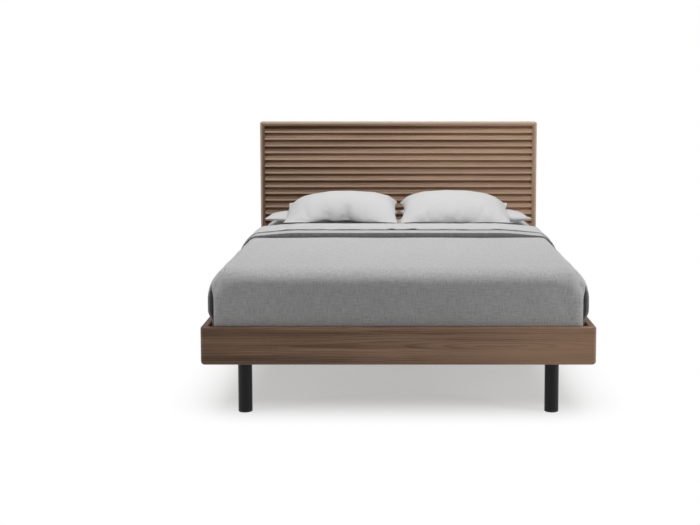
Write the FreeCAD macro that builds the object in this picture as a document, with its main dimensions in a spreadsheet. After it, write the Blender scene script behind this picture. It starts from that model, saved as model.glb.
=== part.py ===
"""Platform bed with a louvred headboard, slats, six legs and made-up bedding.

Millimetres. The origin is on the floor under the centre of the bed. +X is to
the right as seen from the foot, +Y points to the headboard and +Z is up.
"""

import FreeCAD, Part
import os
import re

import Sketcher

Vector = FreeCAD.Vector

# Each driving dimension: its name in the sheet and its value.
SIZES = {
    # the whole bed
    "overall_width": 1626,
    "overall_length": 2150,
    "headboard_height": 1178,
    "rail_top": 395,
    "rail_depth": 158,
    "rail_thickness": 27,
    "rail_round": 11,
    "corner_round": 15,
    # headboard
    "headboard_thickness": 48,
    "frame_border": 27,
    "frame_round": 6,
    "panel_thickness": 9,
    "panel_inset": 4,
    "louver_foot": 551,
    "louver_nose": 14,
    "louver_slope": 20,
    "louver_setback": 3,
    # slats and what carries them
    "slat_drop": 77,
    "slat_thickness": 18,
    "slat_width": 70,
    "slat_end_gap": 5,
    "strap_width": 25,
    "strap_thickness": 1.5,
    "strap_offset": 420,
    "ledger_width": 25,
    "ledger_height": 28,
    "ledger_bracket_gap": 12,
    "ledger_screw_inset": 60,
    "beam_thickness": 38,
    "beam_lift": 3,
    "leg_beam_width": 90,
    "leg_beam_height": 34,
    "end_gap": 0.5,
    "notch_gap": 0.5,
    # legs
    "leg_inset": 161,
    "leg_radius": 30,
    "tube_wall": 2,
    "plate_size": 90,
    "plate_thickness": 6,
    "plate_round": 8,
    "bolt_offset": 32,
    "glide_thickness": 8,
    "glide_plug": 18,
    "glide_gap": 0.2,
    "glide_round": 3,
    "post_radius": 20,
    "post_spread": 450,
    "post_middle": 255,
    "post_plate_length": 110,
    "post_plate_width": 36,
    "post_plate_thickness": 4,
    "post_bolt_offset": 42,
    "post_nut_thickness": 14,
    "leveler_radius": 24,
    "leveler_thickness": 12,
    "leveler_travel": 10,
    "stem_radius": 5,
    "stem_gap": 0.08,
    "stem_length": 40,
    # brackets and fasteners
    "bracket_leg": 58,
    "bracket_thickness": 3,
    "bracket_lift": 5,
    "bracket_drop": 6,
    "bracket_bolt_from_corner": 36,
    "bracket_bolt_from_end": 18,
    "hanger_wall": 2.5,
    "hanger_flange": 22,
    "hanger_reach": 42,
    "hanger_gap": 0.3,
    "hanger_screw_inset": 14,
    "bolt_radius": 4,
    "bolt_head_radius": 7,
    "bolt_head": 5,
    "screw_radius": 2.5,
    "screw_head_radius": 5,
    "screw_head": 3,
    "fastener_gap": 0.1,
    "fastener_bite": 18,
    "hole_spare": 1,
    "leg_bolt_spare": 4,
    # mattress and bedding
    "mattress_thickness": 289.7,
    "mattress_head_gap": 19,
    "mattress_corner": 70,
    "mattress_edge": 50,
    "sheet_thickness": 1,
    "sheet_hem_rise": 5,
    "soft_gap": 0.3,
    "duvet_thickness": 18,
    "duvet_side": 21,
    "duvet_gap": 2,
    "duvet_hem_rise": 20,
    "cuff_from_head": 1042,
    "cuff_rise": 25,
    "cuff_spread": 8,
    "cuff_hem_rise": 43,
    "turn_down_from_head": 952,
    "turn_down_hem_rise": 12,
    "turn_down_thickness": 5,
    "duvet_from_head": 662,
    # pillows
    "pillow_tilt": 10,
    "lower_pillow_inset": 14,
    "lower_pillow_margin": 40,
    "lower_pillow_from_head": 512,
    "lower_pillow_length": 470,
    "lower_pillow_slope": 260,
    "lower_pillow_back": 72,
    "lower_pillow_round": 24,
    "upper_pillow_inset": 18,
    "upper_pillow_margin": 154,
    "upper_pillow_from_head": 652,
    "upper_pillow_rise": 40,
    "upper_pillow_length": 425,
    "upper_pillow_thickness": 98,
    "upper_pillow_round": 38,
}

# Counts of the pieces that repeat.
LOUVER_COUNT = 15
SLAT_COUNT = 13
LEDGER_SCREW_COUNT = 8

# How round a pillow's two ends are, as a share of its long edges.
END_ROUND_SHARE = 0.8

doc = FreeCAD.newDocument("platform_bed")
sheet = doc.addObject("Spreadsheet::Sheet", "Sizes")
for row, (alias, size) in enumerate(SIZES.items(), start=1):
    sheet.set(f"A{row}", alias.replace("_", " "))
    sheet.set(f"B{row}", str(size))
    sheet.setAlias(f"B{row}", alias)
doc.recompute()

# Places worked out from the driving dimensions, as text for expressions.
HALF_WIDTH = "(overall_width / 2)"
INNER_HALF = "(overall_width / 2 - rail_thickness)"
FOOT = "(-overall_length / 2)"
FOOT_INNER = "(-overall_length / 2 + rail_thickness)"
HEAD_FRONT = "(overall_length / 2 - headboard_thickness)"
RAIL_BOTTOM = "(rail_top - rail_depth)"
SLAT_TOP = "(rail_top - slat_drop)"
SLAT_BASE = f"({SLAT_TOP} - slat_thickness)"
LEDGER_BASE = f"({SLAT_BASE} - ledger_height)"
LEDGER_INSET = "(bracket_leg + ledger_bracket_gap)"
BEAM_BASE = f"({RAIL_BOTTOM} + beam_lift)"
BRACKET_BASE = f"({RAIL_BOTTOM} + bracket_lift)"
BRACKET_TOP = f"({SLAT_TOP} - bracket_drop)"
LEG_BEAM_BASE = f"({LEDGER_BASE} - leg_beam_height)"
PLATE_BASE = f"({LEG_BEAM_BASE} - plate_thickness)"
LEG_X = "(overall_width / 2 - leg_inset)"
LEG_Y = "(overall_length / 2 - leg_inset)"
PANEL_FRONT = "(overall_length / 2 - panel_inset - panel_thickness)"
LOUVER_FRONT = f"({HEAD_FRONT} + louver_setback)"
LOUVER_TOP = "(headboard_height - frame_border)"
LOUVER_PITCH = f"(({LOUVER_TOP} - louver_foot) / {LOUVER_COUNT})"
PANEL_HALF = f"({HALF_WIDTH} - frame_border)"
DUVET_HALF = f"({INNER_HALF} - duvet_gap)"
DUVET_FOOT = f"({FOOT_INNER} + duvet_gap)"
DUVET_HEAD = f"({HEAD_FRONT} - duvet_from_head)"
SHEET_HALF = f"({DUVET_HALF} - duvet_side)"
SHEET_FOOT = f"({DUVET_FOOT} + duvet_side)"
MATTRESS_HALF = f"({SHEET_HALF} - sheet_thickness)"
MATTRESS_FOOT = f"({SHEET_FOOT} + sheet_thickness)"
MATTRESS_HEAD = f"({HEAD_FRONT} - mattress_head_gap)"
MATTRESS_BASE = f"({SLAT_TOP} + soft_gap)"
MATTRESS_TOP = f"({MATTRESS_BASE} + mattress_thickness)"
SHEET_TOP = f"({MATTRESS_TOP} + sheet_thickness)"
DUVET_TOP = f"({SHEET_TOP} + duvet_thickness)"


def bound(text):
    """Return an expression whose size names point at the sheet."""
    return re.sub(r"[a-z_]+", lambda m: f"Sizes.{m[0]}" if m[0] in SIZES else m[0], text)


def value(text):
    """Return the number that an expression has now."""
    return float(sheet.evalExpression(bound(text)))


def new_body(label, place=("0", "0", "0")):
    """Start a body whose origin is bound to a place."""
    body = doc.addObject("PartDesign::Body", label)
    body.Label = label
    set_place(body, place)
    return body


def set_place(piece, place):
    for axis, text in zip("xyz", place):
        piece.setExpression(f".Placement.Base.{axis}", bound(text))


def new_sketch(body, plane, name, lift=None):
    """Make a sketch on one of the body's own origin planes, lifted off it if asked."""
    sketch = body.newObject("Sketcher::SketchObject", name)
    support = next(f for f in body.Origin.OriginFeatures if f.Role == f"{plane}_Plane")
    sketch.AttachmentSupport = [(support, "")]
    sketch.MapMode = "FlatFace"
    if lift:
        sketch.setExpression(".AttachmentOffset.Base.z", bound(lift))
    return sketch


def fix_point(sketch, element, point, place):
    """Hold one point of a sketch at a place given by two expressions."""
    for kind, text in zip(("DistanceX", "DistanceY"), place):
        rule = Sketcher.Constraint(kind, -1, 1, element, point, value(text))
        number = sketch.addConstraint(rule)
        sketch.setExpression(f"Constraints[{number}]", bound(text))


def outline(sketch, corners):
    """Draw a closed outline through corners given as pairs of expressions."""
    points = [Vector(value(across), value(up), 0) for across, up in corners]
    first = sketch.GeometryCount
    for start, end in zip(points, points[1:] + points[:1]):
        sketch.addGeometry(Part.LineSegment(start, end))
    for index, corner in enumerate(corners):
        following = first + (index + 1) % len(corners)
        rule = Sketcher.Constraint("Coincident", first + index, 2, following, 1)
        sketch.addConstraint(rule)
        fix_point(sketch, first + index, 1, corner)


def circles(sketch, centres, radius):
    """Draw circles of one radius, with centres given as pairs of expressions."""
    for centre in centres:
        middle = Vector(value(centre[0]), value(centre[1]), 0)
        ring = Part.Circle(middle, Vector(0, 0, 1), value(radius))
        number = sketch.addGeometry(ring)
        rule = sketch.addConstraint(Sketcher.Constraint("Radius", number, value(radius)))
        sketch.setExpression(f"Constraints[{rule}]", bound(radius))
        fix_point(sketch, number, 3, centre)


def rectangle(left, bottom, right, top):
    return [(left, bottom), (right, bottom), (right, top), (left, top)]


def pad(body, sketch, length, reverse=False, name="pad"):
    feature = body.newObject("PartDesign::Pad", f"{body.Label}_{name}")
    feature.Profile = sketch
    feature.Reversed = reverse
    feature.setExpression("Length", bound(length))
    doc.recompute()
    return feature


def pocket(body, sketch, depth, reverse=False, name="pocket"):
    """Cut a sketch into the body, and stop if the cut takes nothing away."""
    before = body.Shape.Volume
    feature = body.newObject("PartDesign::Pocket", f"{body.Label}_{name}")
    feature.Profile = sketch
    feature.Reversed = reverse
    feature.setExpression("Length", bound(depth))
    doc.recompute()
    if not feature.Shape.Volume < before - 1:
        raise RuntimeError(f"{feature.Name} cuts nothing")
    return feature


def round_edges(body, base, keep, radius, name="round"):
    """Fillet the edges of a feature that a test keeps."""
    names = [f"Edge{n}" for n, edge in enumerate(base.Shape.Edges, 1) if keep(edge)]
    if not names:
        raise RuntimeError(f"{body.Label} has no edge to round")
    feature = body.newObject("PartDesign::Fillet", f"{body.Label}_{name}")
    feature.Base = (base, names)
    feature.setExpression("Radius", bound(radius))
    doc.recompute()
    return feature


def along(edge, axis):
    """True for a straight edge that runs along an axis."""
    box = edge.BoundBox
    spans = {"x": box.XLength, "y": box.YLength, "z": box.ZLength}
    return spans[axis] > 0.5 and all(spans[other] < 0.01 for other in spans if other != axis)


def at(edge, axis, text):
    """True for an edge whose middle has this coordinate in its body."""
    middle = edge.BoundBox.Center
    return abs(getattr(middle, axis) - value(text)) < 0.01


def prism(label, place, plane, corners, length, reverse=False):
    """A body padded from one outline on an origin plane."""
    body = new_body(label, place)
    sketch = new_sketch(body, plane, f"{label}_outline")
    outline(sketch, corners)
    return body, pad(body, sketch, length, reverse)


def drill(body, plane, centres, radius, depth, reverse=False, lift=None, name="holes"):
    """Round holes cut from a plane into a body."""
    sketch = new_sketch(body, plane, f"{body.Label}_{name}", lift)
    circles(sketch, centres, radius)
    return pocket(body, sketch, depth, reverse, f"{name}_cut")


# --- headboard ---------------------------------------------------------------

def rounded_corner(angles):
    """Points of the frame's outer top corner, as (inwards, downwards) from its sharp corner."""
    return [(f"corner_round * (1 - cos({angle}))", f"corner_round * (1 - sin({angle}))")
            for angle in angles]


def headboard_stile(label, side):
    """An upright of the frame, mitred at its top, with its half of the round outer corner."""
    corners = [
        ("0", RAIL_BOTTOM),
        ("0", LOUVER_TOP),
        *[(f"{side} * (frame_border - {inwards})", f"(headboard_height - {down})")
          for inwards, down in rounded_corner((45, 30, 15, 0))],
        (f"{side} * frame_border", RAIL_BOTTOM),
    ]
    place = (f"{side} * {PANEL_HALF}", HEAD_FRONT, "0")
    body, blank = prism(label, place, "XZ", corners, "headboard_thickness", reverse=True)
    outer = f"{side} * frame_border"
    round_edges(body, blank, lambda e: along(e, "z") and at(e, "x", outer), "frame_round")


def headboard_top_rail():
    """The top of the frame, mitred at both ends."""
    corners = [
        (f"-{PANEL_HALF}", "0"),
        (PANEL_HALF, "0"),
        *[(f"({HALF_WIDTH} - {inwards})", f"(frame_border - {down})")
          for inwards, down in rounded_corner((45, 60, 75, 90))],
        *[(f"-({HALF_WIDTH} - {inwards})", f"(frame_border - {down})")
          for inwards, down in rounded_corner((90, 75, 60, 45))],
    ]
    place = ("0", HEAD_FRONT, LOUVER_TOP)
    body, blank = prism("headboard_top_rail", place, "XZ", corners, "headboard_thickness", True)
    round_edges(body, blank, lambda e: along(e, "x") and at(e, "z", "frame_border"), "frame_round")


def bracket_bolt_heights(base="0"):
    """The heights of a corner bracket's two bolts above a base."""
    low = f"({BRACKET_BASE} + bracket_bolt_from_end - {base})"
    high = f"({BRACKET_TOP} - bracket_bolt_from_end - {base})"
    return low, high


def hanger_bolt_places():
    """Across and up, for the two screws in each flange of a beam hanger."""
    reach = "(beam_thickness / 2 + hanger_gap + hanger_wall + hanger_flange / 2)"
    heights = (f"({BEAM_BASE} + hanger_screw_inset)", f"({SLAT_BASE} - hanger_screw_inset)")
    return [(f"{sign} * {reach}", up) for sign in (-1, 1) for up in heights]


def cross_rail_holes(body, reverse):
    """Pilot holes for the corner brackets and the beam hanger in a rail across the bed."""
    from_corner = f"({INNER_HALF} - bracket_bolt_from_corner)"
    heights = bracket_bolt_heights()
    corner_holes = [(f"{sign} * {from_corner}", up) for sign in (-1, 1) for up in heights]
    drill(body, "XZ", corner_holes, "bolt_radius + fastener_gap", "fastener_bite + hole_spare", reverse)
    hanger_holes = hanger_bolt_places()
    drill(body, "XZ", hanger_holes, "screw_radius + fastener_gap", "fastener_bite + hole_spare",
          reverse, name="screw_holes")


def headboard_bottom_rail():
    """The deep rail between the stiles that the bed's side rails meet."""
    corners = rectangle(f"-{PANEL_HALF}", RAIL_BOTTOM, PANEL_HALF, "rail_top")
    place = ("0", HEAD_FRONT, "0")
    body, _ = prism("headboard_bottom_rail", place, "XZ", corners, "headboard_thickness", True)
    cross_rail_holes(body, reverse=False)


def headboard_back_panel():
    """The thin panel that the louvers are glued to."""
    corners = rectangle(f"-{PANEL_HALF}", "rail_top", PANEL_HALF, LOUVER_TOP)
    prism("headboard_back_panel", ("0", PANEL_FRONT, "0"), "XZ", corners, "panel_thickness", True)


def headboard_louver(number):
    """One louver: a sloping face that comes forward to a plumb nose."""
    depth = f"({PANEL_FRONT} - {LOUVER_FRONT})"
    corners = [
        ("0", f"-{LOUVER_PITCH}"),
        (depth, f"-{LOUVER_PITCH}"),
        (depth, "0"),
        ("louver_slope", "0"),
        ("0", f"louver_nose - {LOUVER_PITCH}"),
    ]
    label = f"headboard_louver_{number:02d}"
    place = (f"-{PANEL_HALF}", LOUVER_FRONT, f"{LOUVER_TOP} - {number - 1} * {LOUVER_PITCH}")
    prism(label, place, "YZ", corners, f"2 * {PANEL_HALF}")


# --- rails -------------------------------------------------------------------

def ledger_screw_places():
    """Places along the bed, in the bed's frame, of the screws in one ledger."""
    first = f"({FOOT_INNER} + {LEDGER_INSET} + ledger_screw_inset)"
    last = f"({HEAD_FRONT} - {LEDGER_INSET} - ledger_screw_inset)"
    step = f"(({last} - {first}) / {LEDGER_SCREW_COUNT - 1})"
    return [f"({first} + {number} * {step})" for number in range(LEDGER_SCREW_COUNT)]


def side_rail(label, side):
    """A side rail from the foot rail to the headboard, its outer edges rounded."""
    corners = rectangle(FOOT_INNER, RAIL_BOTTOM, HEAD_FRONT, "rail_top")
    left = side < 0
    place = (f"{side} * {INNER_HALF}", "0", "0")
    body, blank = prism(label, place, "YZ", corners, "rail_thickness", reverse=left)
    outer = f"{side} * rail_thickness"
    round_edges(body, blank, lambda e: along(e, "y") and at(e, "x", outer), "frame_round")
    into = not left
    heights = bracket_bolt_heights()
    ends = (f"({FOOT_INNER} + bracket_bolt_from_corner)", f"({HEAD_FRONT} - bracket_bolt_from_corner)")
    bolts = [(end, up) for end in ends for up in heights]
    drill(body, "YZ", bolts, "bolt_radius + fastener_gap", "fastener_bite + hole_spare", into)
    screws = [(along_bed, f"({LEDGER_BASE} + ledger_height / 2)") for along_bed in ledger_screw_places()]
    drill(body, "YZ", screws, "screw_radius + fastener_gap", "fastener_bite + hole_spare",
          into, name="screw_holes")


def foot_rail():
    """The rail across the foot, softly rounded on its front and its lower corners."""
    corners = rectangle(f"-{HALF_WIDTH}", RAIL_BOTTOM, HALF_WIDTH, "rail_top")
    body, blank = prism("foot_rail", ("0", FOOT_INNER, "0"), "XZ", corners, "rail_thickness")
    lower = round_edges(
        body, blank, lambda e: along(e, "y") and at(e, "z", RAIL_BOTTOM), "corner_round", "lower_corners")
    upper = round_edges(
        body, lower, lambda e: along(e, "y") and at(e, "z", "rail_top"), "frame_round", "upper_corners")
    front = "-rail_thickness"
    round_edges(body, upper, lambda e: at(e, "y", front), "rail_round", "front_round")
    cross_rail_holes(body, reverse=True)


def ledger(label, side):
    """The cleat along a side rail that carries the slats' ends."""
    start = f"({FOOT_INNER} + {LEDGER_INSET})"
    end = f"({HEAD_FRONT} - {LEDGER_INSET})"
    corners = rectangle(start, "0", end, "ledger_height")
    place = (f"{side} * {INNER_HALF}", "0", LEDGER_BASE)
    body, _ = prism(label, place, "YZ", corners, "ledger_width", reverse=side > 0)
    screws = [(along_bed, "ledger_height / 2") for along_bed in ledger_screw_places()]
    drill(body, "YZ", screws, "screw_radius + fastener_gap", "ledger_width + hole_spare", reverse=side < 0)


# --- beams and slats ---------------------------------------------------------

def plate_bolt_places(side):
    """Across and along the bed, for the four bolts of the leg at one side."""
    signs = [(a, b) for a in (-1, 1) for b in (-1, 1)]
    return [(f"({side} * {LEG_X} + {a} * bolt_offset)", f"({b} * bolt_offset)") for a, b in signs]


def leg_beam(label, end):
    """The beam across the bed that two legs are bolted under."""
    half = f"({INNER_HALF} - end_gap)"
    corners = rectangle(f"-{half}", "-leg_beam_width / 2", half, "leg_beam_width / 2")
    place = ("0", f"{end} * {LEG_Y}", LEG_BEAM_BASE)
    body, _ = prism(label, place, "XY", corners, "leg_beam_height")
    holes = plate_bolt_places(-1) + plate_bolt_places(1)
    drill(body, "XY", holes, "bolt_radius + fastener_gap", "leg_beam_height + hole_spare", reverse=True)


def center_beam():
    """The beam along the middle of the bed, halved over both leg beams."""
    start = f"({FOOT_INNER} + end_gap)"
    end = f"({HEAD_FRONT} - end_gap)"
    half_notch = "(leg_beam_width / 2 + notch_gap)"
    shoulder = f"({LEG_BEAM_BASE} + leg_beam_height)"
    corners = [(start, BEAM_BASE)]
    for place in (f"-{LEG_Y}", LEG_Y):
        corners += [
            (f"({place} - {half_notch})", BEAM_BASE),
            (f"({place} - {half_notch})", shoulder),
            (f"({place} + {half_notch})", shoulder),
            (f"({place} + {half_notch})", BEAM_BASE),
        ]
    corners += [(end, BEAM_BASE), (end, SLAT_BASE), (start, SLAT_BASE)]
    body, _ = prism("center_beam", ("-beam_thickness / 2", "0", "0"), "YZ", corners, "beam_thickness")
    centres = [("beam_thickness / 2", f"({post} * post_spread / 2 + post_middle + {sign} * post_bolt_offset)")
               for post in (-1, 1) for sign in (-1, 1)]
    drill(body, "XY", centres, "bolt_radius + fastener_gap", "fastener_bite + hole_spare", True,
          BEAM_BASE)


def slats():
    """The slats, on the ledgers and the centre beam, evenly spaced."""
    half = f"({INNER_HALF} - slat_end_gap)"
    first = f"({FOOT_INNER} + {LEDGER_INSET})"
    last = f"({HEAD_FRONT} - {LEDGER_INSET} - slat_width)"
    corners = rectangle(f"-{half}", first, half, f"({first} + slat_width)")
    body, slat = prism("slats", ("0", "0", SLAT_BASE), "XY", corners, "slat_thickness")
    pattern = body.newObject("PartDesign::LinearPattern", "slat_row")
    pattern.Originals = [slat]
    direction = next(f for f in body.Origin.OriginFeatures if f.Role == "Y_Axis")
    pattern.Direction = (direction, [""])
    pattern.Occurrences = SLAT_COUNT
    pattern.setExpression("Length", bound(f"{last} - {first}"))
    body.Tip = pattern
    doc.recompute()


def slat_webbing():
    """Two straps under the slats that keep them spaced."""
    body = new_body("slat_webbing", ("0", "0", f"{SLAT_BASE} - strap_thickness"))
    sketch = new_sketch(body, "XY", "slat_webbing_outline")
    start = f"({FOOT_INNER} + {LEDGER_INSET})"
    end = f"({HEAD_FRONT} - {LEDGER_INSET})"
    for side in (-1, 1):
        middle = f"{side} * strap_offset"
        outline(sketch, rectangle(
            f"({middle} - strap_width / 2)", start, f"({middle} + strap_width / 2)", end))
    pad(body, sketch, "strap_thickness")


# --- legs --------------------------------------------------------------------

def leg(label, side, end):
    """A round steel leg, a tube with a plate welded on top."""
    body = new_body(label, (f"{side} * {LEG_X}", f"{end} * {LEG_Y}", "0"))
    tube = new_sketch(body, "XY", f"{label}_tube", "glide_thickness")
    circles(tube, [("0", "0")], "leg_radius")
    circles(tube, [("0", "0")], "leg_radius - tube_wall")
    pad(body, tube, f"{PLATE_BASE} - glide_thickness", name="tube_pad")
    plate = new_sketch(body, "XY", f"{label}_plate", PLATE_BASE)
    outline(plate, rectangle("-plate_size / 2", "-plate_size / 2", "plate_size / 2", "plate_size / 2"))
    top = pad(body, plate, "plate_thickness", name="plate_pad")
    corner = "plate_size / 2"
    round_edges(
        body, top, lambda e: along(e, "z") and abs(abs(e.BoundBox.Center.x) - value(corner)) < 0.01,
        "plate_round")
    holes = [(f"{a} * bolt_offset", f"{b} * bolt_offset") for a in (-1, 1) for b in (-1, 1)]
    lift = f"({PLATE_BASE} + plate_thickness)"
    drill(body, "XY", holes, "bolt_radius + fastener_gap", "plate_thickness + hole_spare", lift=lift)


def leg_glide(label, side, end):
    """The plastic cap pushed into a leg's foot."""
    body = new_body(label, (f"{side} * {LEG_X}", f"{end} * {LEG_Y}", "0"))
    disc = new_sketch(body, "XY", f"{label}_disc")
    circles(disc, [("0", "0")], "leg_radius")
    foot = pad(body, disc, "glide_thickness", name="disc_pad")
    foot = round_edges(body, foot, lambda e: at(e, "z", "0") and e.BoundBox.ZLength < 0.01, "glide_round")
    plug = new_sketch(body, "XY", f"{label}_plug", "glide_thickness")
    circles(plug, [("0", "0")], "leg_radius - tube_wall - glide_gap")
    pad(body, plug, "glide_plug", name="plug_pad")


def center_support_leg(label, end):
    """A slim steel post under the centre beam, with a plate on top and a nut in its foot."""
    body = new_body(label, ("0", f"{end} * post_spread / 2 + post_middle", "0"))
    foot = "(leveler_thickness + leveler_travel)"
    top = f"({BEAM_BASE} - post_plate_thickness)"
    tube = new_sketch(body, "XY", f"{label}_tube", foot)
    circles(tube, [("0", "0")], "post_radius")
    circles(tube, [("0", "0")], "post_radius - tube_wall")
    pad(body, tube, f"{top} - {foot}", name="tube_pad")
    nut = new_sketch(body, "XY", f"{label}_nut", foot)
    circles(nut, [("0", "0")], "post_radius - tube_wall / 2")
    circles(nut, [("0", "0")], "stem_radius + stem_gap")
    pad(body, nut, "post_nut_thickness", name="nut_pad")
    plate = new_sketch(body, "XY", f"{label}_plate", top)
    outline(plate, rectangle("-post_plate_width / 2", "-post_plate_length / 2",
                             "post_plate_width / 2", "post_plate_length / 2"))
    pad(body, plate, "post_plate_thickness", name="plate_pad")
    holes = [("0", f"{sign} * post_bolt_offset") for sign in (-1, 1)]
    drill(body, "XY", holes, "bolt_radius + fastener_gap", "post_plate_thickness + hole_spare",
          lift=BEAM_BASE)


def leveling_foot(label, end):
    """The screw foot of a centre post: a disc with its threaded stem."""
    body = new_body(label, ("0", f"{end} * post_spread / 2 + post_middle", "0"))
    disc = new_sketch(body, "XY", f"{label}_disc")
    circles(disc, [("0", "0")], "leveler_radius")
    foot = pad(body, disc, "leveler_thickness", name="disc_pad")
    round_edges(body, foot, lambda e: e.BoundBox.ZLength < 0.01, "glide_round")
    stem = new_sketch(body, "XY", f"{label}_stem", "leveler_thickness")
    circles(stem, [("0", "0")], "stem_radius")
    pad(body, stem, "stem_length", name="stem_pad")


# --- brackets ----------------------------------------------------------------

def corner_bracket(label, side, end):
    """A steel angle that joins a side rail to the rail across the bed."""
    across = FOOT_INNER if end < 0 else HEAD_FRONT
    place = (f"{side} * {INNER_HALF}", across, BRACKET_BASE)
    corners = [
        ("0", "0"),
        (f"{-side} * bracket_leg", "0"),
        (f"{-side} * bracket_leg", f"{-end} * bracket_thickness"),
        (f"{-side} * bracket_thickness", f"{-end} * bracket_thickness"),
        (f"{-side} * bracket_thickness", f"{-end} * bracket_leg"),
        ("0", f"{-end} * bracket_leg"),
    ]
    body, _ = prism(label, place, "XY", corners, f"{BRACKET_TOP} - {BRACKET_BASE}")
    heights = bracket_bolt_heights(BRACKET_BASE)
    cross_holes = [(f"{-side} * bracket_bolt_from_corner", up) for up in heights]
    side_holes = [(f"{-end} * bracket_bolt_from_corner", up) for up in heights]
    deep = "bracket_thickness + hole_spare"
    drill(body, "XZ", cross_holes, "bolt_radius + fastener_gap", deep, end > 0, name="cross_holes")
    drill(body, "YZ", side_holes, "bolt_radius + fastener_gap", deep, side < 0, name="side_holes")


def beam_hanger(label, end):
    """A bent steel hanger that carries one end of the centre beam."""
    across = FOOT_INNER if end < 0 else HEAD_FRONT
    inner = "(beam_thickness / 2 + hanger_gap)"
    outer = f"({inner} + hanger_wall)"
    edge = f"({outer} + hanger_flange)"
    seat = BEAM_BASE
    under = f"({BEAM_BASE} - hanger_wall)"
    toward_head = end < 0
    body = new_body(label, ("0", across, "0"))
    flange = new_sketch(body, "XZ", f"{label}_flange")
    outline(flange, [
        (f"-{edge}", under), (edge, under), (edge, SLAT_BASE), (inner, SLAT_BASE),
        (inner, seat), (f"-{inner}", seat), (f"-{inner}", SLAT_BASE), (f"-{edge}", SLAT_BASE)])
    pad(body, flange, "hanger_wall", reverse=toward_head, name="flange_pad")
    channel = new_sketch(body, "XZ", f"{label}_channel")
    outline(channel, [
        (f"-{outer}", under), (outer, under), (outer, SLAT_BASE), (inner, SLAT_BASE),
        (inner, seat), (f"-{inner}", seat), (f"-{inner}", SLAT_BASE), (f"-{outer}", SLAT_BASE)])
    pad(body, channel, "hanger_reach", reverse=toward_head, name="channel_pad")
    holes = hanger_bolt_places()
    drill(body, "XZ", holes, "screw_radius + fastener_gap", "hanger_wall + hole_spare",
          reverse=not toward_head)


# --- fasteners ---------------------------------------------------------------

def fastener(kind, place, direction, shank):
    """A bolt or a screw whose head seats at a place and whose shank goes in a direction."""
    seat = Vector(*[value(text) for text in place])
    into = Vector(*direction)
    stem = Part.makeCylinder(value(f"{kind}_radius"), value(shank), seat, into)
    head = Part.makeCylinder(value(f"{kind}_head_radius"), value(f"{kind}_head"), seat, into * -1)
    return stem.fuse(head).removeSplitter()


def fastener_group(label, fasteners):
    """One node for fasteners of one kind, each a separate solid."""
    group = doc.addObject("Part::Feature", label)
    group.Label = label
    group.Shape = Part.makeCompound(fasteners)
    group.Placement = FreeCAD.Placement()


def leg_bolts():
    """The bolts that hold the leg plates and post plates up to the beams."""
    made = []
    for end in (-1, 1):
        for side in (-1, 1):
            for across, offset in plate_bolt_places(side):
                place = (across, f"({end} * {LEG_Y} + {offset})", PLATE_BASE)
                shank = "plate_thickness + leg_beam_height - leg_bolt_spare"
                made.append(fastener("bolt", place, (0, 0, 1), shank))
        for sign in (-1, 1):
            along_bed = f"({end} * post_spread / 2 + post_middle + {sign} * post_bolt_offset)"
            place = ("0", along_bed, f"({BEAM_BASE} - post_plate_thickness)")
            shank = "post_plate_thickness + fastener_bite"
            made.append(fastener("bolt", place, (0, 0, 1), shank))
    fastener_group("leg_bolts", made)


def bracket_bolts():
    """The bolts that hold the corner brackets to the rails."""
    made = []
    shank = "bracket_thickness + fastener_bite"
    for side in (-1, 1):
        for end, across in ((-1, FOOT_INNER), (1, HEAD_FRONT)):
            for up in bracket_bolt_heights():
                cross = (f"({side} * ({INNER_HALF} - bracket_bolt_from_corner))",
                         f"({across} - {end} * bracket_thickness)", up)
                made.append(fastener("bolt", cross, (0, end, 0), shank))
                beside = (f"({side} * ({INNER_HALF} - bracket_thickness))",
                          f"({across} - {end} * bracket_bolt_from_corner)", up)
                made.append(fastener("bolt", beside, (side, 0, 0), shank))
    fastener_group("bracket_bolts", made)


def hanger_screws():
    """The screws that hold the beam hangers to the rails."""
    made = []
    for end, across in ((-1, FOOT_INNER), (1, HEAD_FRONT)):
        for sideways, up in hanger_bolt_places():
            place = (sideways, f"({across} - {end} * hanger_wall)", up)
            shank = "hanger_wall + fastener_bite"
            made.append(fastener("screw", place, (0, end, 0), shank))
    fastener_group("hanger_screws", made)


def ledger_screws():
    """The screws that hold the ledgers to the side rails."""
    made = []
    up = f"({LEDGER_BASE} + ledger_height / 2)"
    for side in (-1, 1):
        for along_bed in ledger_screw_places():
            place = (f"{side} * ({INNER_HALF} - ledger_width)", along_bed, up)
            shank = "ledger_width + fastener_bite"
            made.append(fastener("screw", place, (side, 0, 0), shank))
    fastener_group("ledger_screws", made)


# --- mattress and bedding ----------------------------------------------------

def soft_block(label, half_width, start, end, base, top, corner, edge, open_head=False):
    """A soft block with rounded upright corners and a rounded top edge.

    With open_head, the block is cut square at its head end.
    """
    corners = rectangle(f"-{half_width}", start, half_width, end)
    body, blank = prism(label, ("0", "0", base), "XY", corners, f"({top} - {base})")
    tall = f"({top} - {base})"

    def upright(item):
        return along(item, "z") and not (open_head and at(item, "y", end))

    def upper(item):
        if not at(item, "z", tall) or item.BoundBox.ZLength > 0.01:
            return False
        return not (open_head and at(item, "y", end))

    sides = round_edges(body, blank, upright, corner, "corners")
    round_edges(body, sides, upper, edge, "top_edge")
    return body


def cut_from(label, blank, tool):
    """A node that is one block less another."""
    piece = doc.addObject("Part::Cut", label)
    piece.Label = label
    piece.Base = blank
    piece.Tool = tool
    doc.recompute()
    return piece


def join(name, first, second):
    piece = doc.addObject("Part::Fuse", name)
    piece.Base = first
    piece.Tool = second
    doc.recompute()
    return piece


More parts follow.
